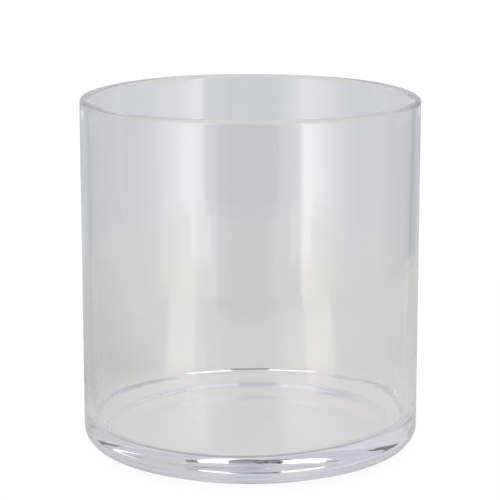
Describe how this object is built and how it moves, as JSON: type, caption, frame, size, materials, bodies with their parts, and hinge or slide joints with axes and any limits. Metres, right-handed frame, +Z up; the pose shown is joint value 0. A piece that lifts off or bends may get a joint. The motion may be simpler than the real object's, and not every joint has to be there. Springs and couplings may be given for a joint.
{
  "type": "cylinder vase",
  "caption": "Clear glass cylinder vase with a straight wall, fire-polished rim, thick flat base, rounded heel and shallow dished underside.",
  "frame": {"origin": "centre of the standing plane, under the middle of the base", "axes": "+Z up along the vase's turning axis, towards the open mouth; +X and +Y are any two square directions, because the vase is turned"},
  "size_m": [0.19, 0.19, 0.2],
  "materials": {
    "clear_glass": "fire-polished"
  },
  "bodies": {
    "root": {"glass_vase": "clear_glass"}
  },
  "joints": []
}
